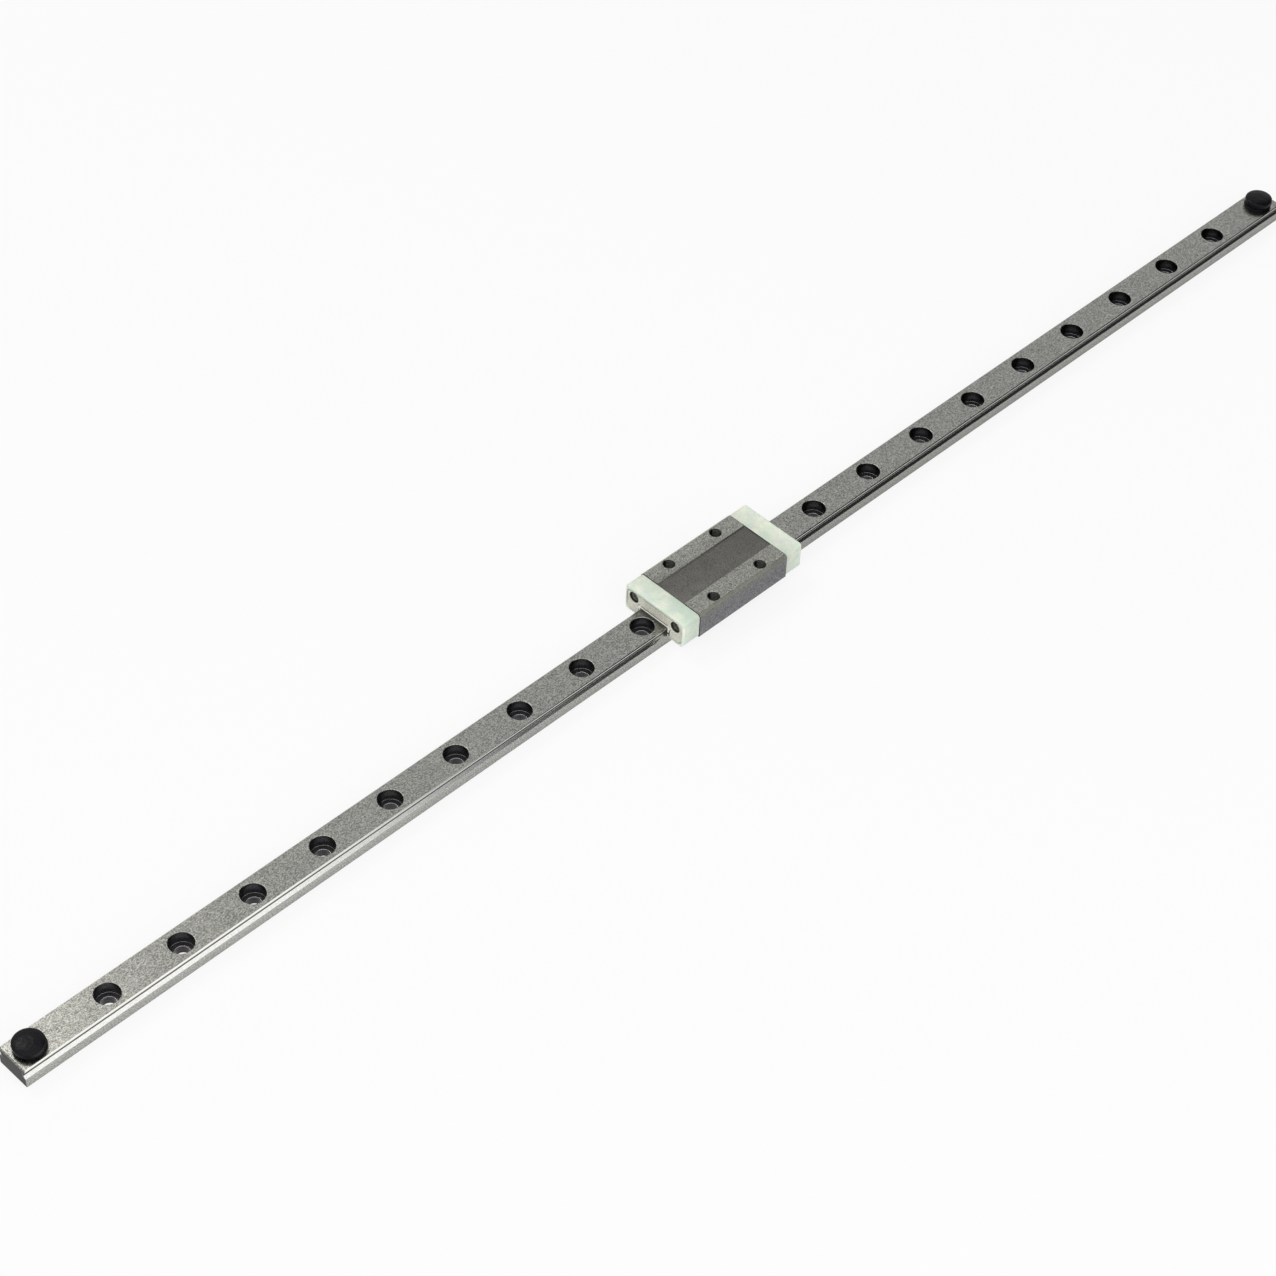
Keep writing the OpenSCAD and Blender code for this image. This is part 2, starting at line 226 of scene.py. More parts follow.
floor_paper, tree, result = new_material("floor_paper")
paper = add_node(tree, "ShaderNodeBsdfDiffuse", inputs={"Color": grey(FLOOR_WHITE)})
glow = add_node(tree, "ShaderNodeEmission", inputs={"Color": grey(1.0), "Strength": 1.0})
share = times(tree, seen_directly(tree), GLOW_SHARE)
lit = add_node(tree, "ShaderNodeMixShader", inputs={"Fac": share})
feed(tree, paper.outputs[0], lit.inputs[1])
feed(tree, glow.outputs[0], lit.inputs[2])
feed(tree, lit.outputs[0], result.inputs["Surface"])
reach = STAGE_SIZE / 2
floor_corners = [(-reach, -reach, 0), (reach, -reach, 0), (reach, reach, 0), (-reach, reach, 0)]
flat_quad("studio_floor", floor_corners, floor_paper)

world = bpy.data.worlds.new("studio_air")
bpy.context.scene.world = world
world.use_nodes = True
tree = world.node_tree
tree.nodes.clear()
seen = seen_directly(tree)
strength = times_plus(tree, seen, 1.0 - AIR_FOR_LIGHT, AIR_FOR_LIGHT)
air = add_node(tree, "ShaderNodeBackground", inputs={"Color": grey(1.0), "Strength": strength})
add_node(tree, "ShaderNodeOutputWorld", inputs={"Surface": air.outputs[0]})
print("floor and air ready")

# %% Lamps
WARM_WHITE = (1.0, 0.945, 0.9)


def soft_lamp(name, place, aim, width, height, power):
    """A flat lamp of this width, height and power that faces the aim."""
    data = bpy.data.lights.new(name, "AREA")
    data.shape = "RECTANGLE"
    data.size = width
    data.size_y = height
    data.energy = power
    lamp = bpy.data.objects.new(name, data)
    bpy.context.collection.objects.link(lamp)
    lamp.location = place
    lamp.rotation_euler = (Vector(aim) - Vector(place)).to_track_quat("-Z", "Y").to_euler()
    return lamp


behind = soft_lamp("lamp_behind_left", place=(-0.12, 0.74, 1.1), aim=(-0.2, 0, 0),
                   width=0.5, height=0.4, power=3.6)
behind.data.color = WARM_WHITE
in_front = soft_lamp("box_in_front", place=(-0.16, -0.66, 0.6), aim=(-0.16, 0, 0.25),
                     width=0.8, height=0.95, power=3.4)
in_front.visible_glossy = False
soft_lamp("lamp_at_left", place=(-1.1, -0.15, 0.9), aim=(0, 0, 0), width=0.9, height=0.9, power=4.4)

# %% Hood and strip
CLOTH_DARK = 0.035
CLOTH_GAIN = 1.6
HOOD_R = 0.6
HOOD_ROWS = 24
HOOD_ENDS = (-0.9, 1.9)
HOOD_ANGLES = (0.5, 105)
HOOD_FADE = (0.13, 0.285)
STRIP_X = (-0.2152, 0.3)
STRIP_Y = (-0.08, -0.0045)
STRIP_LIFT = 0.00003
STRIP_FADE = (-0.11, -0.05)
# The strip's glow is painted light, brighter at the left, and its foot by the rail is dimmer as painted
# shade.
STRIP_BASE_GLOW = 1.18
STRIP_LEFT_GAIN = 0.57
STRIP_FOOT_SHADE = 0.7
STRIP_GAIN_FADE = (0.03, -0.15)
STRIP_FOOT_SHADE_Y = -0.007
STRIP_END_Y = (-0.018, -0.027)


def only_in_mirrors(card):
    """Hides a stage card from everything but reflections."""
    card.visible_camera = False
    card.visible_diffuse = False
    card.visible_shadow = False
    card.visible_transmission = False


def glowing_cloth(name, strength_of):
    """A cloth that glows by strength_of(tree, x, y), with x and y in metres."""
    material, tree, result = new_material(name)
    place = add_node(tree, "ShaderNodeTexCoord")
    parts = add_node(tree, "ShaderNodeSeparateXYZ", inputs={0: place.outputs["Object"]})
    strength = strength_of(tree, parts.outputs["X"], parts.outputs["Y"])
    cloth = add_node(tree, "ShaderNodeEmission", inputs={"Color": grey(1.0), "Strength": strength})
    feed(tree, cloth.outputs[0], result.inputs["Surface"])
    return material


def left_glow(tree, x, bright_end, dark_start):
    """CLOTH_DARK + CLOTH_GAIN * s * s, where s is 1 left of bright_end and 0 right of dark_start."""
    slope = step_up(tree, x, dark_start, bright_end)
    return times_plus(tree, times(tree, slope, slope), CLOTH_GAIN, CLOTH_DARK)


def hood_glow(tree, x, y):
    """Bright at the left and dark at the right, and the same at every y."""
    return left_glow(tree, x, *HOOD_FADE)


def strip_glow(tree, x, y):
    """Beside the rail STRIP_BASE_GLOW, with up to STRIP_LEFT_GAIN more at the left as painted light, and
    STRIP_FOOT_SHADE of that at its foot, as painted shade.

    Past STRIP_END_Y it glows as the hood does, and goes dark over STRIP_FADE.
    """
    along = times_plus(tree, step_up(tree, x, *STRIP_GAIN_FADE), STRIP_LEFT_GAIN, STRIP_BASE_GLOW)
    from_rail = step_up(tree, y, STRIP_Y[1], STRIP_FOOT_SHADE_Y)
    painted_foot_shade = times_plus(tree, from_rail, 1.0 - STRIP_FOOT_SHADE, STRIP_FOOT_SHADE)
    beside = times(tree, along, painted_foot_shade)
    further = step_up(tree, y, *STRIP_END_Y)
    more = sums(tree, "SUBTRACT", left_glow(tree, x, *STRIP_FADE), beside)
    return times_plus(tree, further, more, beside)


# The hood's rows are (end, -R cos(angle), R sin(angle)), from the floor in front to past overhead.
angles = np.radians(np.linspace(*HOOD_ANGLES, HOOD_ROWS))
ends, turns = np.meshgrid(HOOD_ENDS, angles, indexing="ij")
hood_points = np.stack([ends, -HOOD_R * np.cos(turns), HOOD_R * np.sin(turns)], axis=-1)
rungs = np.arange(HOOD_ROWS - 1)
hood_faces = np.stack([rungs, rungs + HOOD_ROWS, rungs + HOOD_ROWS + 1, rungs + 1], axis=-1)
hood_mesh = bpy.data.meshes.new("mirror_hood")
hood_mesh.from_pydata(hood_points.reshape(-1, 3).tolist(), [], hood_faces.tolist())
hood_mesh.materials.append(glowing_cloth("hood_cloth", hood_glow))
hood = bpy.data.objects.new("mirror_hood", hood_mesh)
bpy.context.collection.objects.link(hood)
only_in_mirrors(hood)

strip_corners = [(STRIP_X[0], STRIP_Y[0], STRIP_LIFT), (STRIP_X[1], STRIP_Y[0], STRIP_LIFT),
                 (STRIP_X[1], STRIP_Y[1], STRIP_LIFT), (STRIP_X[0], STRIP_Y[1], STRIP_LIFT)]
only_in_mirrors(flat_quad("mirror_strip", strip_corners, glowing_cloth("glowing_strip", strip_glow)))
print("hood of radius", HOOD_R, "with", len(hood_mesh.polygons), "faces, strip from x =", STRIP_X[0])

# %% [markdown]
# ## Effects that several finishes share
#
# Ground steel, dull steel and moulded plastic need the same few effects: long grinding lines, a fine grain,
# slow clouds, small specks, and a mask of edges, with a normal that rounds them. With the mask the finishes
# brighten edges, partly where handling rubbed them and partly as painted highlight, and paint the plate's
# and the lip's edges dark as shade. Each is a node group, built once, and every finish places it with its
# own values.

# %% Shared effects


def new_effect(name, inputs, numbers, vectors=()):
    """An empty node group with number inputs and their usual values, and its number and vector outputs."""
    effect = bpy.data.node_groups.new(name, "ShaderNodeTree")
    for title, usual in inputs.items():
        socket = effect.interface.new_socket(title, in_out="INPUT", socket_type="NodeSocketFloat")
        socket.default_value = usual
    for title in numbers:
        effect.interface.new_socket(title, in_out="OUTPUT", socket_type="NodeSocketFloat")
    for title in vectors:
        effect.interface.new_socket(title, in_out="OUTPUT", socket_type="NodeSocketVector")
    start = effect.nodes.new("NodeGroupInput")
    end = effect.nodes.new("NodeGroupOutput")
    return effect, start, end


def place_effect(tree, effect, **values):
    """Puts an effect in a material and gives its outputs. Values are its inputs, with _ for a blank."""
    node = tree.nodes.new("ShaderNodeGroup")
    node.node_tree = effect
    for name, value in values.items():
        feed(tree, value, node.inputs[name.replace("_", " ")])
    return node.outputs


def millimetres(tree):
    """The object's own coordinates in millimetres, as one vector."""
    place = add_node(tree, "ShaderNodeTexCoord")
    scaled = add_node(tree, "ShaderNodeVectorMath", operation="SCALE")
    feed(tree, place.outputs["Object"], scaled.inputs[0])
    scaled.inputs["Scale"].default_value = 1 / MM
    return scaled.outputs[0]


def millimetre_parts(tree):
    """X, Y and Z of the object's own coordinates in millimetres."""
    parts = add_node(tree, "ShaderNodeSeparateXYZ", inputs={0: millimetres(tree)})
    return parts.outputs["X"], parts.outputs["Y"], parts.outputs["Z"]


def stretched_noise(tree, place, along, across, detail=3.0):
    """Noise whose grains are so many millimetres long along X and wide across it."""
    stretch = add_node(tree, "ShaderNodeVectorMath", operation="MULTIPLY")
    feed(tree, place, stretch.inputs[0])
    lengths = add_node(tree, "ShaderNodeCombineXYZ")
    feed(tree, sums(tree, "DIVIDE", 1.0, along), lengths.inputs["X"])
    feed(tree, sums(tree, "DIVIDE", 1.0, across), lengths.inputs["Y"])
    feed(tree, sums(tree, "DIVIDE", 1.0, across), lengths.inputs["Z"])
    feed(tree, lengths.outputs[0], stretch.inputs[1])
    noise = add_node(tree, "ShaderNodeTexNoise", inputs={"Scale": 1.0, "Detail": detail, "Roughness": 0.6})
    feed(tree, stretch.outputs[0], noise.inputs["Vector"])
    return noise.outputs["Fac"]


grinding, start, end = new_effect(
    "grinding_lines", {"Length mm": 14.0, "Width mm": 0.12}, ["Lines", "Patches"])
place = millimetres(grinding)
lines = stretched_noise(grinding, place, start.outputs["Length mm"], start.outputs["Width mm"])
patch_length = times(grinding, start.outputs["Length mm"], 0.5)
patches = stretched_noise(grinding, place, patch_length, 2.2, detail=2.0)
feed(grinding, step_up(grinding, lines, 0.3, 0.7), end.inputs["Lines"])
feed(grinding, step_up(grinding, patches, 0.25, 0.75), end.inputs["Patches"])

grain, start, end = new_effect("grain", {"Length mm": 0.5, "Width mm": 0.35}, ["Grain"])
place = millimetres(grain)
grains = stretched_noise(grain, place, start.outputs["Length mm"], start.outputs["Width mm"], detail=1.0)
feed(grain, step_up(grain, grains, 0.3, 0.7), end.inputs["Grain"])

clouds, start, end = new_effect("clouds", {"Size mm": 6.0}, ["Cloud"])
place = millimetres(clouds)
cloud = stretched_noise(clouds, place, start.outputs["Size mm"], start.outputs["Size mm"], detail=4.0)
feed(clouds, step_up(clouds, cloud, 0.3, 0.7), end.inputs["Cloud"])

specks, start, end = new_effect("specks", {"Spacing mm": 0.6, "Share": 0.2}, ["Speck"])
place = millimetres(specks)
grid = add_node(specks, "ShaderNodeVectorMath", operation="SCALE", inputs={0: place})
feed(specks, sums(specks, "DIVIDE", 1.0, start.outputs["Spacing mm"]), grid.inputs["Scale"])
cells = add_node(specks, "ShaderNodeTexVoronoi", inputs={"Vector": grid.outputs[0], "Scale": 1.0})
near = sums(specks, "SUBTRACT", start.outputs["Share"], cells.outputs["Distance"])
feed(specks, step_up(specks, near, 0.0, 0.12), end.inputs["Speck"])

edges, start, end = new_effect("edge_mask", {"Radius mm": 0.15}, ["Edge"], ["Rounded"])
rounded = add_node(edges, "ShaderNodeBevel", samples=6)
feed(edges, times(edges, start.outputs["Radius mm"], MM), rounded.inputs["Radius"])
face = add_node(edges, "ShaderNodeNewGeometry")
agree = add_node(edges, "ShaderNodeVectorMath", operation="DOT_PRODUCT")
feed(edges, rounded.outputs[0], agree.inputs[0])
feed(edges, face.outputs["Normal"], agree.inputs[1])
feed(edges, step_up(edges, agree.outputs["Value"], 0.995, 0.85), end.inputs["Edge"])
feed(edges, rounded.outputs[0], end.inputs["Rounded"])
print("effects:", [group.name for group in bpy.data.node_groups])

# %% [markdown]
# ## Rail steel
#
# The rail is hardened steel. Its top and flanks are ground lengthwise, its raceways are finer still, the
# counterbores are drilled and painted dark as shade, with a painted highlight round each screw hole, and
# the ends are cut. Painted shade darkens the bed of each raceway and the lip above it, and a painted shadow
# lies across the rail in front of the parked carriage's seals. One material for each would need the faces
# sorted. The rail is straight, so bands of height and width in its own coordinates do the same.

# %% Rail steel
HOLE_PITCH = 20.0
COUNTERBORE_R = 3.0
COUNTERBORE_FLOOR = 2.2
SCREW_HOLE_R = 1.75
RING_RATE = 22.0  # radians of the rings' wave per mm
CHAMFER_SUM = 9.8  # half width plus height, on the top chamfers
PARKED_X = -5.6
SEAL_REACH = 20.5
# Bands of height, in millimetres
RACEWAY_Z = (2.87, 4.84)
LIP_SHADOW_Z = (4.58, 5.05)
LAND_Z = (5.07, 5.3)
# Half widths in millimetres, where a mask is 0 and where it is 1
RACEWAY_SIDE = (3.3, 3.4)
BED_SIDE = (3.86, 3.82)
LIP_SHADOW_SIDE = (4.26, 4.32)
FLANK_SIDE = (4.4, 4.47)
# Painted shade in the raceway's bed:
BED_SHADE_COLOUR = (0.015, 0.015, 0.013, 1)
# A painted shadow on the lip above the raceway:
LIP_SHADOW_COLOUR = (0.012, 0.012, 0.011, 1)
LAND_COLOUR = (0.42, 0.42, 0.4, 1)
CHAMFER_COLOUR = (0.58, 0.57, 0.54, 1)
# Edges brightened partly where rubbed and partly as painted highlight:
EDGE_WEAR_AND_HIGHLIGHT_COLOUR = (0.62, 0.61, 0.57, 1)
# A painted shadow in front of the carriage's seals:
SEAL_SHADOW_COLOUR = (0.05, 0.047, 0.04, 1)


def steel_surface(tree, result, colour, roughness, height, depth, rounded=None):
    """Bare metal with this colour and roughness. Height is a relief of this depth in metres.

    The relief stands on the normal in rounded, where there is one.
    """
    relief = add_node(tree, "ShaderNodeBump", inputs={"Strength": 1.0, "Distance": depth, "Height": height})
    if rounded is not None:
        feed(tree, rounded, relief.inputs["Normal"])
    metal = add_node(tree, "ShaderNodeBsdfPrincipled")
    metal.inputs["Metallic"].default_value = 1.0
    feed(tree, colour, metal.inputs["Base Color"])
    feed(tree, roughness, metal.inputs["Roughness"])
    feed(tree, relief.outputs[0], metal.inputs["Normal"])
    feed(tree, metal.outputs[0], result.inputs["Surface"])


def tinted(tree, tone, green, blue):
    """A colour from one tone, with green and blue as shares of it."""
    colour = add_node(tree, "ShaderNodeCombineColor")
    feed(tree, tone, colour.inputs["Red"])
    feed(tree, times(tree, tone, green), colour.inputs["Green"])
    feed(tree, times(tree, tone, blue), colour.inputs["Blue"])
    return colour.outputs[0]


rail_box = [[v / MM for v in corner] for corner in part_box("rail")]
rail_top = rail_box[1][2]
rail_half_l = rail_box[1][0]

rail_steel, tree, result = new_material("rail_steel")
x, y, z = millimetre_parts(tree)
side = sums(tree, "ABSOLUTE", y)
ground = place_effect(tree, grinding, Length_mm=16.0, Width_mm=0.1)
grainy = place_effect(tree, grain, Length_mm=0.36, Width_mm=0.28)
cloudy = place_effect(tree, clouds, Size_mm=9.0)
spotted = place_effect(tree, specks, Spacing_mm=0.5, Share=0.16)
edging = place_effect(tree, edges, Radius_mm=0.14)

from_hole_x = sums(tree, "SUBTRACT", sums(tree, "FLOORED_MODULO", x, HOLE_PITCH), HOLE_PITCH / 2)
square_sum = times_plus(tree, y, y, times(tree, from_hole_x, from_hole_x))
from_hole = sums(tree, "SQRT", square_sum)
bore = times(tree, step_up(tree, from_hole, COUNTERBORE_R + 0.12, COUNTERBORE_R + 0.02),
             step_up(tree, z, rail_top - 0.02, rail_top - 0.3))
above_floor = step_up(tree, z, COUNTERBORE_FLOOR - 0.3, COUNTERBORE_FLOOR - 0.2)
in_screw_hole = step_up(tree, from_hole, SCREW_HOLE_R + 0.08, SCREW_HOLE_R + 0.02)
bore = times(tree, bore, sums(tree, "MAXIMUM", above_floor, in_screw_hole))
at_floor = band(tree, z, COUNTERBORE_FLOOR - 0.1, COUNTERBORE_FLOOR + 0.05, 0.03)
bore_floor = times(tree, bore, at_floor)
rings = sums(tree, "SINE", times(tree, from_hole, RING_RATE))
rings = times_plus(tree, rings, 0.5, 0.5)
# A painted highlight rings the screw hole on the counterbore floor.
hole_lip_highlight = band(tree, from_hole, SCREW_HOLE_R, SCREW_HOLE_R + 0.14, 0.04)
raceway = times(tree, band(tree, z, *RACEWAY_Z, 0.01), step_up(tree, side, *RACEWAY_SIDE))
# The raceway's bed is painted dark, as shade.
raceway_bed_shade = times(tree, raceway, step_up(tree, side, *BED_SIDE))
# The lip above the raceway is painted dark, as shadow.
lip_painted_shadow = times(tree, band(tree, z, *LIP_SHADOW_Z, 0.02), step_up(tree, side, *LIP_SHADOW_SIDE))
land = times(tree, band(tree, z, *LAND_Z, 0.02), step_up(tree, side, *FLANK_SIDE))
across_edge = sums(tree, "ADD", side, z)
top_chamfer = step_up(tree, across_edge, CHAMFER_SUM - 0.07, CHAMFER_SUM - 0.03)
cut_end = step_up(tree, sums(tree, "ABSOLUTE", x), rail_half_l - 0.05, rail_half_l - 0.02)

tone = times_plus(tree, grainy["Grain"], 0.26, 0.09)
tone = times_plus(tree, ground["Lines"], 0.03, tone)
tone = times_plus(tree, ground["Patches"], 0.02, tone)
tone = times_plus(tree, spotted["Speck"], -0.05, tone)
colour = tinted(tree, tone, 1.015, 0.94)
race_tone = times_plus(tree, grainy["Grain"], 0.12, 0.5)
colour = blend_colour(tree, raceway, colour, tinted(tree, race_tone, 1.0, 0.97))
colour = blend_colour(tree, raceway_bed_shade, colour, BED_SHADE_COLOUR)
colour = blend_colour(tree, land, colour, LAND_COLOUR)
colour = blend_colour(tree, top_chamfer, colour, CHAMFER_COLOUR)
end_tone = times_plus(tree, cloudy["Cloud"], 0.045, 0.024)
colour = blend_colour(tree, cut_end, colour, tinted(tree, end_tone, 1.01, 0.98))
# The counterbore's walls and floor are painted dark, as the shade deep in it.
bore_shade_tone = times_plus(tree, grainy["Grain"], 0.05, 0.025)
colour = blend_colour(tree, bore, colour, tinted(tree, bore_shade_tone, 0.98, 1.04))
floor_tone = times_plus(tree, rings, 0.1, 0.09)
floor_tone = times_plus(tree, hole_lip_highlight, 0.35, floor_tone)
colour = blend_colour(tree, bore_floor, colour, tinted(tree, floor_tone, 0.98, 1.03))
# Edges are brightened partly where rubbed and partly as painted highlight.
brightness = times(tree, edging["Edge"], 0.3)
colour = blend_colour(tree, brightness, colour, EDGE_WEAR_AND_HIGHLIGHT_COLOUR)
colour = blend_colour(tree, lip_painted_shadow, colour, LIP_SHADOW_COLOUR)
# A painted shadow of the parked carriage lies on the rail in front of its seals.
from_carriage = sums(tree, "ABSOLUTE", sums(tree, "SUBTRACT", x, PARKED_X))
from_seal = sums(tree, "SUBTRACT", from_carriage, SEAL_REACH)
seal_painted_shadow = times(tree, band(tree, from_seal, -0.3, 1.0, 0.8), step_up(tree, z, 3.0, 4.5))
colour = blend_colour(tree, times(tree, seal_painted_shadow, 0.7), colour, SEAL_SHADOW_COLOUR)

rough = times_plus(tree, cloudy["Cloud"], 0.06, 0.2)
rough = times_plus(tree, ground["Lines"], 0.05, rough)
rough = times_plus(tree, raceway, -0.12, rough)
rough = times_plus(tree, sums(tree, "MAXIMUM", land, top_chamfer), -0.12, rough)
rough = times_plus(tree, cut_end, 0.25, rough)
height = times_plus(tree, rings, bore_floor, ground["Lines"])
steel_surface(tree, result, colour, rough, height, depth=0.000004, rounded=edging["Rounded"])
print("rail steel: hole pitch", HOLE_PITCH, "top at", round(rail_top, 2))

# %% [markdown]
# ## Carriage steel
#
# The block's two top bands are ground bright, because a table is bolted to them. The shallow relief
# between them is left dull and dark from hardening, and so are the sides, with a purple tint. The same
# trick of bands in height and width gives each its finish. Painted shade darkens the thin seams at the end
# caps, and a painted shadow runs along the block's foot.

# %% Carriage steel
block_box = [[v / MM for v in corner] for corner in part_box("carriage_block")]
block_top = block_box[1][2]
block_half_w = block_box[1][1]
block_foot = block_box[0][2]
carriage_x = (block_box[0][0] + block_box[1][0]) / 2
block_half_l = block_box[1][0] - carriage_x
RELIEF_HALF_W = 4.5
CHAMFER_W = 0.72
DARK_BELOW = 6.0
SEAM_W = 0.04
NEAR_SEAM_W = 0.13
# Edges brightened partly where rubbed and partly as painted highlight:
BLOCK_EDGE_WEAR_AND_HIGHLIGHT_COLOUR = (0.4, 0.4, 0.38, 1)
# A painted shadow along the block's foot:
FOOT_SHADOW_COLOUR = (0.05, 0.05, 0.05, 1)
# Painted shade in the seams at the end caps:
SEAM_SHADE_COLOUR = (0.008, 0.009, 0.008, 1)


def from_carriage_middle(tree, x):
    """Distance along the rail from the carriage's middle, the same towards both ends."""
    return sums(tree, "ABSOLUTE", sums(tree, "SUBTRACT", x, carriage_x))


def seam_width(tree, x):
    """How wide the painted shade in a seam is: more at the near end, where the block stands proud of the
    cap.
    """
    near_end = step_up(tree, x, carriage_x, carriage_x - 1.0)
    return times_plus(tree, near_end, NEAR_SEAM_W - SEAM_W, SEAM_W)


carriage_steel, tree, result = new_material("carriage_steel")
x, y, z = millimetre_parts(tree)
side = sums(tree, "ABSOLUTE", y)
out = from_carriage_middle(tree, x)
ground = place_effect(tree, grinding, Length_mm=5.0, Width_mm=0.14)
grainy = place_effect(tree, grain, Length_mm=0.34, Width_mm=0.28)
cloudy = place_effect(tree, clouds, Size_mm=3.0)
edging = place_effect(tree, edges, Radius_mm=0.15)

top_face = step_up(tree, z, block_top - 0.05, block_top - 0.02)
relief_floor = times(tree, band(tree, z, block_top - 0.3, block_top - 0.03, 0.01),
                     step_up(tree, side, RELIEF_HALF_W, RELIEF_HALF_W - 0.1))
chamfer = times(tree, step_up(tree, z, block_top - CHAMFER_W, block_top - CHAMFER_W + 0.04),
                step_up(tree, side, block_half_w - CHAMFER_W, block_half_w - CHAMFER_W + 0.06))
# The seams at the end caps are painted dark, as shade.
seam = step_up(tree, out, block_half_l - 0.06, block_half_l - 0.03)

tone = times_plus(tree, grainy["Grain"], 0.29, 0.07)
tone = times_plus(tree, ground["Lines"], 0.04, tone)
tone = times_plus(tree, ground["Patches"], 0.04, tone)
bands = tinted(tree, tone, 1.01, 0.92)
dull_tone = times_plus(tree, grainy["Grain"], 0.16, 0.045)
dull_tone = times_plus(tree, cloudy["Cloud"], 0.05, dull_tone)
up_side = step_up(tree, z, DARK_BELOW, block_top - 0.7)
dull_tone = times_plus(tree, up_side, 0.055, dull_tone)
deep_tone = times_plus(tree, grainy["Grain"], 0.08, 0.065)
deep_tone = times_plus(tree, cloudy["Cloud"], 0.03, deep_tone)
olive_tone = times_plus(tree, grainy["Grain"], 0.2, 0.28)
colour = tinted(tree, dull_tone, 0.99, times_plus(tree, up_side, -0.08, 1.04))
colour = blend_colour(tree, top_face, colour, bands)
colour = blend_colour(tree, relief_floor, colour, tinted(tree, deep_tone, 0.985, 0.91))
# Edges are brightened partly where rubbed and partly as painted highlight.
brightness = times(tree, edging["Edge"], 0.3)
colour = blend_colour(tree, brightness, colour, BLOCK_EDGE_WEAR_AND_HIGHLIGHT_COLOUR)
olive = times(tree, chamfer, sums(tree, "SUBTRACT", 1.0, top_face))
colour = blend_colour(tree, olive, colour, tinted(tree, olive_tone, 1.0, 0.86))
# A painted shadow line along the block's foot.
foot = times(tree, step_up(tree, z, block_foot + 0.22, block_foot + 0.1), 0.6)
colour = blend_colour(tree, foot, colour, FOOT_SHADOW_COLOUR)
colour = blend_colour(tree, seam, colour, SEAM_SHADE_COLOUR)

rough = times_plus(tree, top_face, -0.12, 0.46)
rough = times_plus(tree, cloudy["Cloud"], 0.1, rough)
height = sums(tree, "ADD", ground["Lines"], grainy["Grain"])
steel_surface(tree, result, colour, rough, height, depth=0.000005, rounded=edging["Rounded"])
print("carriage steel: top at", round(block_top, 2), "middle at", round(carriage_x, 2))

# %% [markdown]
# ## Moulded plastic, plate, seal and plug
#
# The end caps are acetal resin, a white plastic with a faint green tint that lets a little light in. It is
# clouded in two sizes, brighter towards its outer end as painted light, a little darker on its long sides as
# painted shade and with painted highlights on its edges, so it has a recipe of its own. The plate in front
# is painted cream, the seal behind it is pale rubber and the stop plugs are black rubber. One simpler recipe
# with different values fits these three. Masks of depth paint shade into the narrow gaps round the plate
# and the lip, and into the cap's seam with the block; the plate's and the lip's edges are painted dark as
# shade too.

# %% Plastic and rubber
cap_box = [[v / MM for v in corner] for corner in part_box("end_cap_near")]
plate_box = [[v / MM for v in corner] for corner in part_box("end_plate_near")]
cap_reach = carriage_x - cap_box[0][0]
cap_half_w = cap_box[1][1]
cap_foot = cap_box[0][2]
plate_reach = carriage_x - plate_box[0][0]
plate_top = plate_box[1][2]
rail_half_w = rail_box[1][1]
POCKET_GAP = 0.2
OPENING_GAP = 0.57
CAP_CREAM = (0.81, 0.85, 0.7, 1)
CAP_GREEN = (0.61, 0.75, 0.62, 1)
CAP_MILK = (0.66, 0.7, 0.68, 1)
# A painted highlight on the cap's edges:
CAP_HIGHLIGHT_COLOUR = (0.9, 0.93, 0.85, 1)
# Painted shade in the plate's pocket and the seam with the block:
CAP_GAP_SHADE_COLOUR = (0.03, 0.033, 0.027, 1)
# Painted shade in the gaps round the plate and the lip:
GAP_SHADE_COLOUR = (0.035, 0.038, 0.03, 1)


def soft_surface(tree, result, colour, roughness, height, depth, rounded):
    """A non-metal with this colour and roughness, and a relief of this depth in metres."""
    relief = add_node(tree, "ShaderNodeBump", inputs={"Strength": 1.0, "Distance": depth, "Height": height})
    feed(tree, rounded, relief.inputs["Normal"])
    body = add_node(tree, "ShaderNodeBsdfPrincipled")
    feed(tree, colour, body.inputs["Base Color"])
    feed(tree, roughness, body.inputs["Roughness"])
    feed(tree, relief.outputs[0], body.inputs["Normal"])
    feed(tree, body.outputs[0], result.inputs["Surface"])
    return body


# The gap masks below say where shade is painted.
def cap_gaps(tree, x, y, z):
    """1 on the walls of the plate's pocket and at the seam with the block, 0 on the cap's outside."""
    out = from_carriage_middle(tree, x)
    side = sums(tree, "ABSOLUTE", y)
    pocket_half_w = plate_box[1][1] + POCKET_GAP
    pocket_top = plate_top + POCKET_GAP
    inside = times(tree, step_up(tree, side, pocket_half_w, pocket_half_w - 0.1),
                   step_up(tree, z, pocket_top, pocket_top - 0.1))
    deep = times(tree, band(tree, out, block_half_l + 0.5, cap_reach - 0.2, 0.06),
                 step_up(tree, z, cap_foot + 0.03, cap_foot + 0.1))
    width = seam_width(tree, x)
    seam = step_up(tree, sums(tree, "SUBTRACT", out, block_half_l), sums(tree, "ADD", width, 0.03), width)
    return sums(tree, "MAXIMUM", times(tree, inside, deep), seam)


def outside_rail(tree, y, z):
    """Distance from the rail's outline, measured straight up or straight out, whichever is more."""
    beside = sums(tree, "SUBTRACT", sums(tree, "ABSOLUTE", y), rail_half_w)
    return sums(tree, "MAXIMUM", beside, sums(tree, "SUBTRACT", z, rail_top))


def behind_plate(tree, x):
    """1 further back than the plate's face, and 0 on it."""
    return step_up(tree, from_carriage_middle(tree, x), plate_reach - 0.06, plate_reach - 0.12)


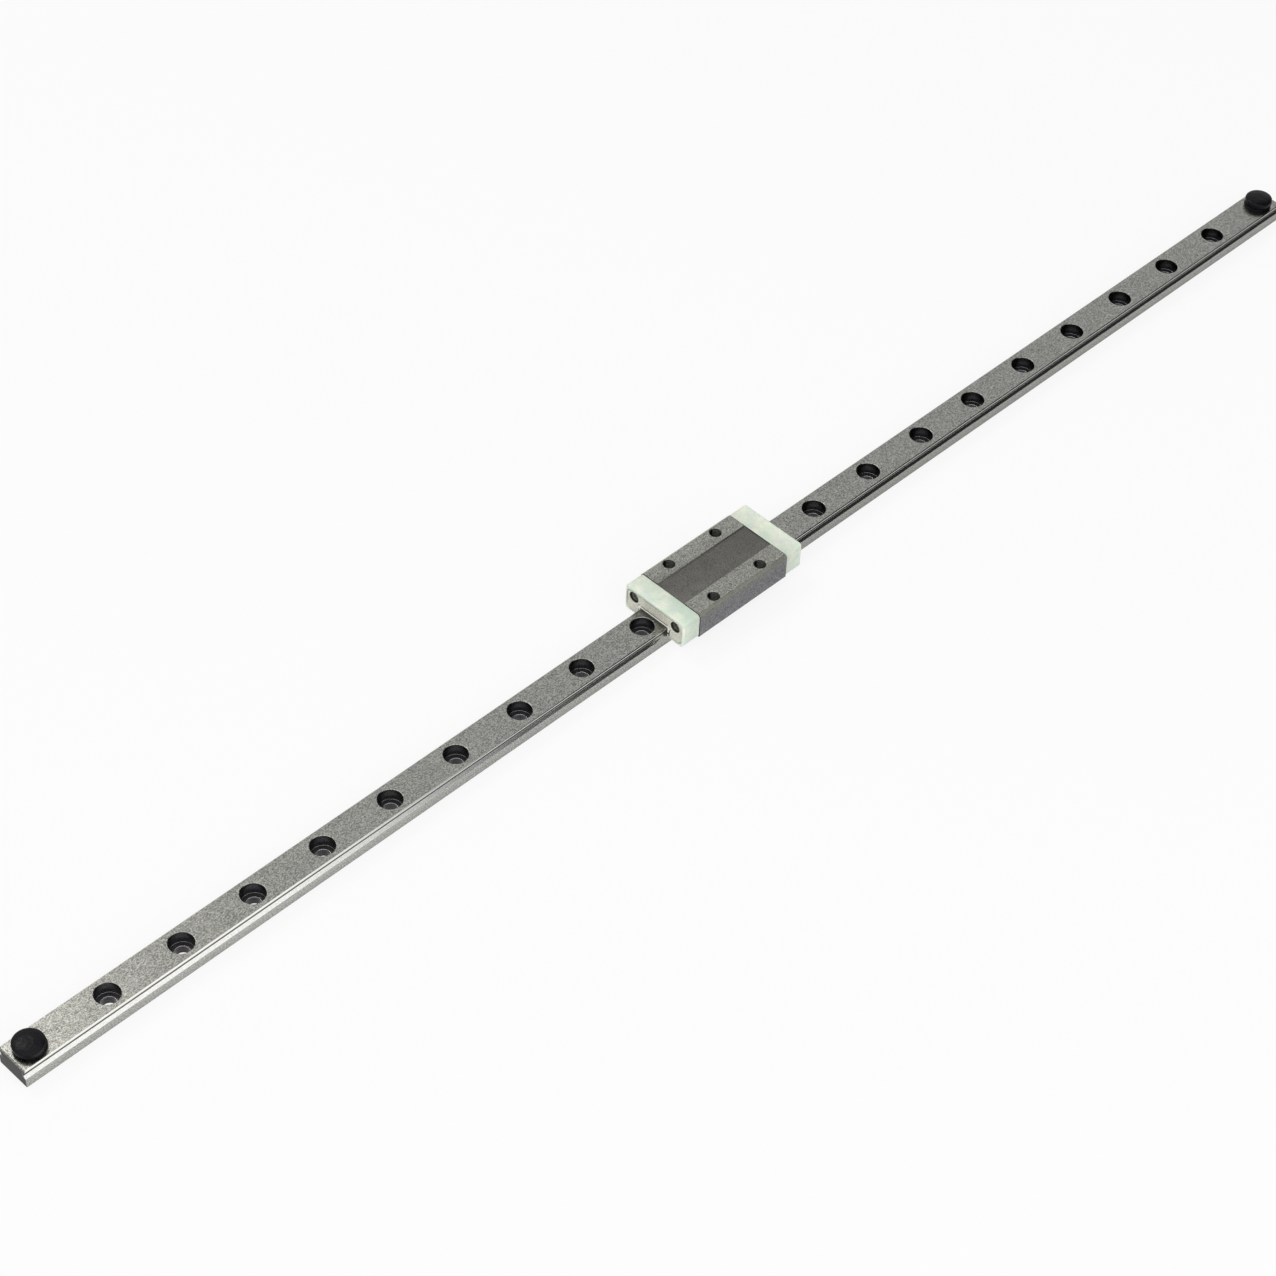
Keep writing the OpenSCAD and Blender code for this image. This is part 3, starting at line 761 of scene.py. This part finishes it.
def plate_gaps(tree, x, y, z):
    """1 behind the plate's face, along its upper rim and at its opening, where shade is painted."""
    rim = times(tree, step_up(tree, z, plate_top - 0.17, plate_top - 0.11), 0.8)
    opening = step_up(tree, outside_rail(tree, y, z), OPENING_GAP + 0.26, OPENING_GAP + 0.2)
    return sums(tree, "MAXIMUM", behind_plate(tree, x), sums(tree, "MAXIMUM", rim, opening))


def lip_gaps(tree, x, y, z):
    """1 behind the plate's face and where the lip meets the rail."""
    at_rail = step_up(tree, outside_rail(tree, y, z), 0.17, 0.12)
    return sums(tree, "MAXIMUM", behind_plate(tree, x), at_rail)


def no_gaps(tree, x, y, z):
    """0 everywhere, for a piece with no gaps to darken."""
    return 0.0


def clouded_material(name, light, dark, edge_tint, gaps, roughness, cloud_mm, grain_mm, depth, radius_mm,
                     gloss=0.5):
    """A non-metal between two colours, with a fine grain, edges of a third colour and shade painted in its
    gaps.

    The fourth number of the edges' colour is how much of it the edges take. Depth is the grain's, in metres.
    """
    material, tree, result = new_material(name)
    x, y, z = millimetre_parts(tree)
    cloudy = place_effect(tree, clouds, Size_mm=cloud_mm)
    grainy = place_effect(tree, grain, Length_mm=grain_mm, Width_mm=grain_mm)
    spotted = place_effect(tree, specks, Spacing_mm=0.9, Share=0.12)
    edging = place_effect(tree, edges, Radius_mm=radius_mm)
    mixed = times_plus(tree, grainy["Grain"], 0.5, times(tree, cloudy["Cloud"], 0.5))
    colour = blend_colour(tree, mixed, light, dark)
    fleck = times(tree, spotted["Speck"], 0.2)
    colour = blend_colour(tree, fleck, colour, tuple(0.6 * c for c in dark[:3]) + (1,))
    colour = blend_colour(tree, times(tree, edging["Edge"], edge_tint[3]), colour, edge_tint)
    # Shade painted into the gaps.
    colour = blend_colour(tree, gaps(tree, x, y, z), colour, GAP_SHADE_COLOUR)
    rough = times_plus(tree, grainy["Grain"], 0.12, roughness - 0.06)
    body = soft_surface(tree, result, colour, rough, grainy["Grain"], depth, edging["Rounded"])
    body.inputs["Specular IOR Level"].default_value = gloss
    return material


cap_plastic, tree, result = new_material("cap_plastic")
x, y, z = millimetre_parts(tree)
wide = place_effect(tree, clouds, Size_mm=5.0)
small = place_effect(tree, clouds, Size_mm=2.3)
grainy = place_effect(tree, grain, Length_mm=0.4, Width_mm=0.4)
edging = place_effect(tree, edges, Radius_mm=0.6)
# Painted light: the cap is brighter towards its outer end.
painted_light_to_end = step_up(tree, from_carriage_middle(tree, x), block_half_l, cap_reach)
painted_light_to_end = sums(tree, "POWER", painted_light_to_end, 1.6)
minty = step_up(tree, wide["Cloud"], 0.25, 0.75)
milky = step_up(tree, small["Cloud"], 0.35, 0.8)
colour = blend_colour(tree, minty, CAP_CREAM, CAP_GREEN)
colour = blend_colour(tree, times(tree, milky, 0.5), colour, CAP_MILK)
shade = times_plus(tree, grainy["Grain"], 0.1, 0.87)
shade = times_plus(tree, painted_light_to_end, 0.2, shade)
# Painted shade: the cap is a little darker on its long sides.
long_side_painted_shade = step_up(tree, sums(tree, "ABSOLUTE", y), cap_half_w - 0.15, cap_half_w - 0.02)
shade = times(tree, shade, times_plus(tree, long_side_painted_shade, -0.1, 1.0))
colour = blend_colour(tree, 1.0, colour, tinted(tree, shade, 1.0, 1.0), "MULTIPLY")
# Painted highlights on the cap's edges.
colour = blend_colour(tree, times(tree, edging["Edge"], 0.5), colour, CAP_HIGHLIGHT_COLOUR)
colour = blend_colour(tree, cap_gaps(tree, x, y, z), colour, CAP_GAP_SHADE_COLOUR)
rough = times_plus(tree, grainy["Grain"], 0.12, 0.36)
body = soft_surface(tree, result, colour, rough, grainy["Grain"], depth=0.000005, rounded=edging["Rounded"])
body.inputs["Subsurface Weight"].default_value = 0.08
body.inputs["Subsurface Radius"].default_value = (0.0012, 0.0014, 0.001)

# The plate's edges are painted dark, as shade round it.
plate_paint = clouded_material(
    "plate_paint", light=(0.9, 0.9, 0.76, 1), dark=(0.5, 0.5, 0.43, 1), edge_tint=(0.05, 0.05, 0.04, 0.9),
    gaps=plate_gaps, roughness=0.5, cloud_mm=1.6, grain_mm=0.4, depth=0.000006, radius_mm=0.12)
# The lip's edges are painted a little darker, as shade.
lip_rubber = clouded_material(
    "lip_rubber", light=(0.95, 0.94, 0.88, 1), dark=(0.86, 0.85, 0.78, 1), edge_tint=(0.2, 0.2, 0.18, 0.5),
    gaps=lip_gaps, roughness=0.55, cloud_mm=2.0, grain_mm=0.4, depth=0.000004, radius_mm=0.08)
plug_rubber = clouded_material(
    "plug_rubber", light=(0.004, 0.004, 0.005, 1), dark=(0.008, 0.008, 0.01, 1),
    edge_tint=(0.03, 0.03, 0.035, 0.4), gaps=no_gaps, roughness=0.28, cloud_mm=1.5, grain_mm=0.6,
    depth=0.00003, radius_mm=0.1, gloss=0.09)
print("cap reaches", round(cap_reach, 2), "plate reaches", round(plate_reach, 2))

# %% [markdown]
# ## Screws, threads and balls
#
# The cap screws are blackened steel, the tapped holes show cut threads painted dark as the shade in them,
# and the balls are polished bearing steel. All are small, so one simple recipe serves them: clouds in the
# tone and in the roughness, and brighter edges, which on the screws and threads are painted glints as well
# as rubbed edges.

# %% Screw and ball steel


def plain_steel(name, tone, roughness, cloud_mm, edge_gain):
    """Bare metal of one tone, clouded in tone and roughness, with edges this many times as bright."""
    material, tree, result = new_material(name)
    cloudy = place_effect(tree, clouds, Size_mm=cloud_mm)
    edging = place_effect(tree, edges, Radius_mm=0.06)
    darker = tuple(0.7 * c for c in tone[:3]) + (1,)
    colour = blend_colour(tree, cloudy["Cloud"], tone, darker)
    brighter = tuple(min(1, edge_gain * c) for c in tone[:3]) + (1,)
    colour = blend_colour(tree, times(tree, edging["Edge"], 0.6), colour, brighter)
    rough = times_plus(tree, cloudy["Cloud"], 0.12, roughness)
    steel_surface(tree, result, colour, rough, cloudy["Cloud"], depth=0.000002)
    return material


# The screws' edges are painted glints as well as rubbed edges.
screw_steel = plain_steel(
    "screw_steel", tone=(0.1, 0.098, 0.085, 1), roughness=0.25, cloud_mm=0.5, edge_gain=7.0)
# The threads are painted dark, as the shade in the holes, with painted glints on their edges.
thread_steel = plain_steel(
    "thread_steel", tone=(0.042, 0.042, 0.038, 1), roughness=0.2, cloud_mm=0.5, edge_gain=2.2)
ball_steel = plain_steel(
    "ball_steel", tone=(0.62, 0.62, 0.64, 1), roughness=0.08, cloud_mm=0.8, edge_gain=1.2)
print("small steel:", [steel.name for steel in (screw_steel, thread_steel, ball_steel)])

# %% Finishes for the construction pieces
FINISH = {
    "rail": rail_steel,
    "carriage_block": carriage_steel,
    "balls": ball_steel,
    "end_cap": cap_plastic,
    "end_seal": lip_rubber,
    "end_plate": plate_paint,
    "cap_screw": screw_steel,
    "stop_plug": plug_rubber,
}


def finish_of(node_name):
    """The material of a construction piece, found by how its name begins."""
    return next(material for start, material in FINISH.items() if node_name.startswith(start))


for name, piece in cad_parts.items():
    piece.data.materials.clear()
    piece.data.materials.append(finish_of(name))
print("finished pieces:", sorted(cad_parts))

# %% [markdown]
# ## Softened caps, plates, seals and block
#
# Nothing that is moulded, stamped or machined has a truly sharp edge. A construction model has, because it
# is easier to cut and to check. Each softened piece is a copy of the construction piece: its triangles are
# joined, its flat faces merged, and a Bevel modifier rounds the edges that turn by more than 35 degrees.

# %% Softened pieces
MERGE_MM = 0.001
FLAT_TURN = math.radians(0.4)
SHARP_TURN = math.radians(30)
BEVEL_TURN = math.radians(35)


def softened(node_name, width_mm):
    """A copy of a construction piece with its edges rounded to a width in millimetres."""
    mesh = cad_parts[node_name].data.copy()
    work = bmesh.new()
    work.from_mesh(mesh)
    bmesh.ops.remove_doubles(work, verts=work.verts, dist=MERGE_MM * MM)
    bmesh.ops.dissolve_limit(work, angle_limit=FLAT_TURN, verts=work.verts, edges=work.edges)
    work.to_mesh(mesh)
    work.free()
    mesh.polygons.foreach_set("use_smooth", np.ones(len(mesh.polygons), bool))
    mesh.set_sharp_from_angle(angle=SHARP_TURN)
    piece = bpy.data.objects.new(node_name + "_soft", mesh)
    bpy.context.collection.objects.link(piece)
    bevel = piece.modifiers.new("rounded_edges", "BEVEL")
    bevel.width = width_mm * MM
    bevel.segments = 3
    bevel.limit_method = "ANGLE"
    bevel.angle_limit = BEVEL_TURN
    bevel.harden_normals = True
    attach(piece, "carriage")
    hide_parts(node_name)
    return piece


for end_name in ("near", "far"):
    softened("end_cap_" + end_name, 0.15)
    softened("end_plate_" + end_name, 0.06)
    softened("end_seal_" + end_name, 0.08)
softened("carriage_block", 0.05)

# %% [markdown]
# ## Pieces made from a profile
#
# Threads, plugs and screws are all turned shapes: a profile that goes round an axis. A Screw modifier would
# spin a drawn profile, but could not add a helix or a cross recess. So each is worked out as a grid of
# points instead, with one row for every step along the profile and one column for every step round it.

# %% Grids of points
COLUMNS = 96


def grid_mesh(name, points, closed_rows, poles=()):
    """A mesh from points[row, column, xyz] whose columns go round and join up.

    With closed_rows the last row joins the first, as on a ring. Otherwise poles holds the two end points,
    and fans of triangles close the shape there. Quads are (row, column), (row + 1, column),
    (row + 1, column + 1) and (row, column + 1), so normals point out when rows run down a right-handed turn.
    """
    rows, around = points.shape[:2]
    row = np.arange(rows if closed_rows else rows - 1)[:, None]
    column = np.arange(around)[None, :]
    following = (column + 1) % around
    below = (row + 1) % rows
    quads = np.stack([row * around + column, below * around + column,
                      below * around + following, row * around + following], axis=-1).reshape(-1, 4)
    vertices = points.reshape(-1, 3)
    faces = quads.tolist()
    if not closed_rows:
        first, last = rows * around, rows * around + 1
        vertices = np.vstack([vertices, np.array(poles)])
        start_of_last = (rows - 1) * around
        ring, after = column[0], following[0]
        first_fan = np.stack([np.full(around, first), ring, after], axis=-1)
        last_fan = np.stack([start_of_last + after, start_of_last + ring, np.full(around, last)], axis=-1)
        faces += first_fan.tolist() + last_fan.tolist()
    mesh = bpy.data.meshes.new(name)
    mesh.from_pydata((vertices * MM).tolist(), [], faces)
    mesh.polygons.foreach_set("use_smooth", np.ones(len(mesh.polygons), bool))
    mesh.update()
    return mesh


def placed(name, mesh, material, body, slot_name, *nodes):
    """A finished piece from a mesh: its material, the body it rides on and what it stands for. The slot name
    is not used.
    """
    mesh.materials.append(material)
    piece = bpy.data.objects.new(name, mesh)
    bpy.context.collection.objects.link(piece)
    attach(piece, body)
    if nodes:
        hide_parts(*nodes)
    return piece


def rounded_profile(corners, steps=5):
    """Points along straight runs whose corners are cut back by c and curved: (1-u)^2 A + 2u(1-u) P + u^2 B.

    Each corner is (radius, height, c). A and B are the points at c before and after the corner P.
    """
    spots = np.array([corner[:2] for corner in corners], float)
    cuts = np.array([corner[2] for corner in corners], float)[:, None]
    along = np.diff(spots, axis=0)
    along /= np.linalg.norm(along, axis=1)[:, None]
    before = np.vstack([spots[:1], spots[1:] - along * cuts[1:]])
    after = np.vstack([spots[:-1] + along * cuts[:-1], spots[-1:]])
    u = np.linspace(0, 1, steps)[None, :, None]
    curves = (1 - u) ** 2 * before[:, None] + 2 * u * (1 - u) * spots[:, None] + u ** 2 * after[:, None]
    points = curves.reshape(-1, 2)
    moved = np.linalg.norm(np.diff(points, axis=0), axis=1) > 1e-6
    return points[np.concatenate([[True], moved])]


def smooth_rise(value, low, high):
    """0 below low, 1 above high, and t * t * (3 - 2t) between."""
    t = np.clip((value - low) / (high - low), 0, 1)
    return t * t * (3 - 2 * t)


print("profile tools ready")

# %% [markdown]
# ## Threads in the tapped holes
#
# A tapped hole isn't smooth: a ridge climbs its wall in a helix. Here the ridge is the inside of a thin
# sleeve. Its radius is the hole's, less a wave that repeats once for each pitch of height and moves up by
# one pitch for each turn round. The wave fades at the mouth and at the bottom, as a tap leaves it.

# %% Threads
TAPPED_R = 1.5
TAPPED_DEPTH = 3.0
ROOT_R = TAPPED_R - 0.03
BACK_R = TAPPED_R - 0.01
THREAD_PITCH = 0.5
THREAD_HEIGHT = 0.26
THREAD_COLUMNS = 48
ROWS_IN_PITCH = 12
TAPPED_SPACING = (16.0, 15.0)


def thread_sleeve(name, x_mm, y_mm, top, depth):
    """A sleeve whose inner radius is ROOT_R - h * wave(z / pitch - turn), and whose back is at BACK_R.

    wave is a triangle wave with its peak cut flat, and h falls to 0 over about half a pitch at both ends.
    """
    turn = np.linspace(0, 1, THREAD_COLUMNS, endpoint=False)[None, :]
    drop = np.linspace(0.2, depth - 0.05, int(ROWS_IN_PITCH * depth / THREAD_PITCH))[:, None]
    phase = (drop / THREAD_PITCH + turn) % 1
    wave = np.clip(1.15 - 2.6 * np.abs(phase - 0.5), 0, 0.85)
    fade = smooth_rise(drop, 0.15, 0.45) * (1 - smooth_rise(drop, depth - 0.3, depth - 0.05))
    inner = ROOT_R - THREAD_HEIGHT * wave * fade
    outer = np.full((2, turn.shape[1]), BACK_R)
    radius = np.vstack([outer[:1], inner, outer[1:]])
    height = top - np.vstack([drop[:1], drop, drop[-1:]])
    angle = 2 * np.pi * turn
    points = np.stack([x_mm + radius * np.cos(angle), y_mm + radius * np.sin(angle),
                       np.broadcast_to(height, radius.shape)], axis=-1)
    return grid_mesh(name, points[::-1], closed_rows=True)


corners = [(sign_x, sign_y) for sign_x in (-1, 1) for sign_y in (-1, 1)]
for number, (sign_x, sign_y) in enumerate(corners, start=1):
    name = "tapped_thread_%d" % number
    mesh = thread_sleeve(name, carriage_x + sign_x * TAPPED_SPACING[0] / 2,
                         sign_y * TAPPED_SPACING[1] / 2, block_top, TAPPED_DEPTH)
    placed(name, mesh, thread_steel, "carriage", "block_steel")
print("threads:", number, "each", len(mesh.polygons), "faces")

# %% [markdown]
# ## Stop plugs
#
# A soft rubber plug sits in the last hole at each end, so that the carriage can't run off. Its stem fills
# the counterbore, a ring stands on the rail, and a domed head with a small dent overhangs it. The carriage
# has pushed each head a little outwards. One profile goes round, and every point above the ring slides
# along the rail.

# %% Stop plugs
PLUG_PUSH = 0.5
PUSHED_FROM = (0.45, 0.66)
DENT_DEPTH = 0.05
DENT_R = 0.5
LAST_HOLE = 10.5  # pitches from the rail's middle
PLUG_CORNERS = [
    (0.0, -3.27, 0.0), (2.94, -3.27, 0.3), (2.94, 0.02, 0.04), (3.5, 0.02, 0.1), (3.5, 0.48, 0.08),
    (3.34, 0.56, 0.06), (3.36, 0.62, 0.04), (3.62, 0.66, 0.1), (3.7, 0.9, 0.15), (3.69, 1.98, 0.35),
    (2.9, 2.32, 0.45), (1.5, 2.53, 0.6), (0.0, 2.58, 0.0),
]


def stop_plug(name, hole_x, push, node_name):
    """Radius and height come from the corners, and x = hole + push * rise(height) + radius * cos(turn).

    The head's middle is lower by DENT_DEPTH * exp(-(radius / DENT_R)^2).
    """
    profile = rounded_profile(PLUG_CORNERS)[1:-1]
    radius, height = profile[:, 0][:, None], profile[:, 1][:, None]
    angle = np.linspace(0, 2 * np.pi, COLUMNS, endpoint=False)[None, :]
    slide = push * smooth_rise(height, *PUSHED_FROM)
    dented = height - DENT_DEPTH * np.exp(-(radius / DENT_R) ** 2) * (height > 2)
    across = radius * np.sin(angle)
    points = np.stack([hole_x + slide + radius * np.cos(angle), across,
                       np.broadcast_to(rail_top + dented, across.shape)], axis=-1)
    low = (hole_x, 0, rail_top + PLUG_CORNERS[0][1])
    high = (hole_x + push, 0, rail_top + PLUG_CORNERS[-1][1] - DENT_DEPTH)
    mesh = grid_mesh(name, points[::-1], closed_rows=False, poles=(high, low))
    return placed(name, mesh, plug_rubber, "rail", "plug_rubber", node_name)


last_hole_x = LAST_HOLE * HOLE_PITCH
stop_plug("soft_plug_near", -last_hole_x, -PLUG_PUSH, "stop_plug_near")
stop_plug("soft_plug_far", last_hole_x, PLUG_PUSH, "stop_plug_far")
print("plug height above the rail, mm:", round(PLUG_CORNERS[-1][1], 2))

# %% [markdown]
# ## Cap screws
#
# Each cap is held by two small screws with a rounded head and a cross recess. The whole screw is one grid:
# it starts in the middle of the recess, goes out over the head, under it and down the threaded shank to
# the tip. The recess lowers the head's face where the point lies inside one of two crossing slots.

# %% Cap screws
HEAD_R = 1.28
HEAD_H = 1.1
HEAD_DOME = 0.1
FACE_R = 1.06
FACE_ROWS = 24
SHANK_R = 0.78
NECK_L = 0.1
TIP_L = 0.35
SHANK_PITCH = 0.35
SHANK_RIDGE = 0.12
SHANK_ROWS_IN_PITCH = 10
RECESS_DEPTH = 0.62
RECESS_REACH = 0.98
RECESS_TURN = 0.5
SLOT_SIDE = (0.15, 0.24)


def screw_profile(shank_l):
    """Rows of (radius, height, is_face), from the head's middle to the tip.

    They are the head's face, which falls by HEAD_DOME * (radius / HEAD_R)^2, its rim and underside, the
    shank and the tip. Heights count from the head's underside.
    """
    face_r = np.linspace(0.05, FACE_R, FACE_ROWS)
    face = np.stack([face_r, HEAD_H - HEAD_DOME * (face_r / HEAD_R) ** 2, np.ones(FACE_ROWS)], axis=-1)
    rim = rounded_profile([(FACE_R, HEAD_H - 0.07, 0.0), (HEAD_R, HEAD_H - 0.12, 0.12), (HEAD_R, 0.0, 0.04),
                           (SHANK_R, 0.0, 0.03), (SHANK_R, -NECK_L, 0.0)])
    drop = np.linspace(-NECK_L, TIP_L - shank_l, int(SHANK_ROWS_IN_PITCH * shank_l / SHANK_PITCH))
    shank = np.stack([np.full(drop.shape, SHANK_R), drop], axis=-1)
    tip = np.array([(0.5, 0.1 - shank_l), (0.4, 0.01 - shank_l)])
    rest = np.vstack([rim[1:], shank[1:], tip])
    return np.vstack([face, np.column_stack([rest, np.zeros(len(rest))])])


def cap_screw(name, node_name):
    """Head and shank round the X axis, with a cross recess in the face and a thread on the shank.

    The recess is RECESS_DEPTH * (1 - (along / RECESS_REACH)^3) deep in the middle of a slot, and its sides
    rise smoothly over SLOT_SIDE. The shank's radius is less by SHANK_RIDGE * triangle wave(height /
    SHANK_PITCH - turn).
    """
    low, high = [[v / MM for v in corner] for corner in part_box(node_name)]
    faces_near = node_name.startswith("cap_screw_near")
    sign = -1 if faces_near else 1
    tip_x = high[0] if faces_near else low[0]
    front_x = low[0] if faces_near else high[0]
    seat_x = front_x - sign * HEAD_H
    shank_l = abs(seat_x - tip_x)
    profile = screw_profile(shank_l)
    radius, height, is_face = [profile[:, i][:, None] for i in range(3)]
    angle = np.linspace(0, 2 * np.pi, COLUMNS, endpoint=False)[None, :]
    leaned = angle + RECESS_TURN
    along, across = np.abs(radius * np.cos(leaned)), np.abs(radius * np.sin(leaned))
    nearer_across, nearer_along = np.minimum(along, across), np.maximum(along, across)
    shallower = np.clip(1 - (nearer_along / RECESS_REACH) ** 3, 0, 1)
    slot = (1 - smooth_rise(nearer_across, *SLOT_SIDE)) * shallower
    face_x = height - RECESS_DEPTH * slot * is_face
    on_shank = (height < -NECK_L) & (height > TIP_L - shank_l)
    phase = (height / SHANK_PITCH - angle / (2 * np.pi)) % 1
    ridged = radius - SHANK_RIDGE * np.abs(2 * phase - 1) * on_shank
    middle_y, middle_z = (low[1] + high[1]) / 2, (low[2] + high[2]) / 2
    points = np.stack([seat_x + sign * face_x, middle_y + sign * ridged * np.cos(angle),
                       middle_z + ridged * np.sin(angle)], axis=-1)
    poles = ((seat_x + sign * (HEAD_H - RECESS_DEPTH), middle_y, middle_z), (tip_x, middle_y, middle_z))
    mesh = grid_mesh(name, points, closed_rows=False, poles=poles)
    return placed(name, mesh, screw_steel, "carriage", "screw_steel", node_name)


for node_name in sorted(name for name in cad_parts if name.startswith("cap_screw")):
    piece = cap_screw(node_name.replace("cap_screw", "cross_screw"), node_name)
print("screws:", len(piece.data.polygons), "faces each")
